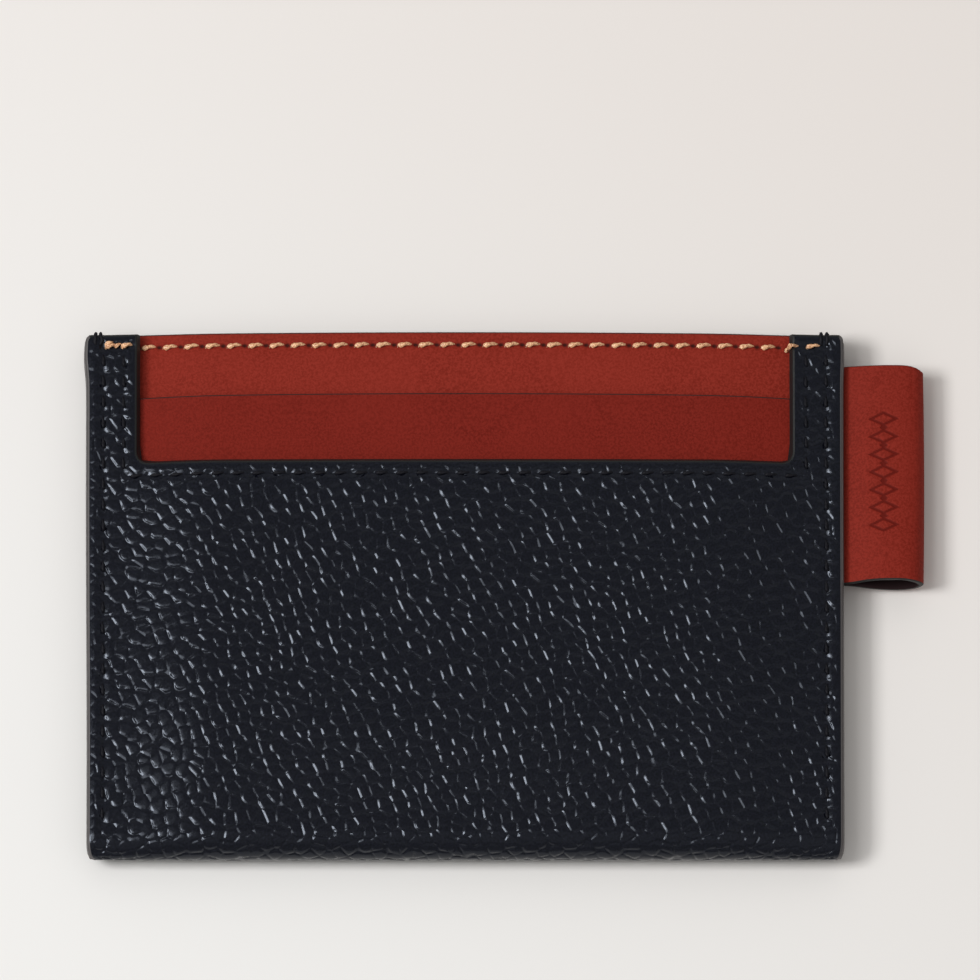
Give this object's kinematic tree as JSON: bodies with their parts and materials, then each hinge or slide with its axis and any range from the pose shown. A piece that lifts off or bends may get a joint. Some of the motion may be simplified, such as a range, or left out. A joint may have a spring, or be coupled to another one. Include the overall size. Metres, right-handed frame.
{
  "type": "card holder",
  "caption": "Flat leather card holder, open at the top, with stepped slots behind a U-shaped front, a central pocket and a sprung loop tab in its side seam.",
  "frame": {"origin": "centre of the flat back face, where the holder lies on a surface", "axes": "+Z out of the front face, +Y up towards the open top, +X across towards the loop tab"},
  "size_m": [0.1104, 0.0718, 0.0067],
  "materials": {
    "pebbled_leather": "navy-black embossed pebble grain, satin coat, painted edges",
    "panel_leather": "smooth brick-red leather, satin, dark painted edges",
    "lining": "thin woven lining, matt",
    "light_thread": "bonded tan thread, slight sheen",
    "dark_thread": "bonded navy thread, slight sheen"
  },
  "bodies": {
    "holder": {"outer_shell": "pebbled_leather", "front_lining": "lining", "lower_slot_panel": "panel_leather", "upper_slot_panel": "panel_leather", "pocket_lining": "lining", "back_lining": "lining", "tab_anchor": "panel_leather", "front_top_thread": "light_thread", "front_top_bobbin": "light_thread", "back_top_thread": "light_thread", "back_top_bobbin": "light_thread", "u_edge_thread": "dark_thread", "u_edge_bobbin": "dark_thread", "left_seam_thread": "dark_thread", "left_seam_bobbin": "dark_thread", "right_seam_thread": "dark_thread", "right_seam_bobbin": "dark_thread"},
    "tab": {"loop_tab": "panel_leather"}
  },
  "joints": [
    {"name": "tab_flex", "type": "hinge", "parent": "holder", "child": "tab", "pos_m": [0.0512, 0.0168, 0.00317], "axis": [0, -1, 0], "range_deg": [-6, 75], "stiffness_Nm_per_rad": 0.003}
  ]
}
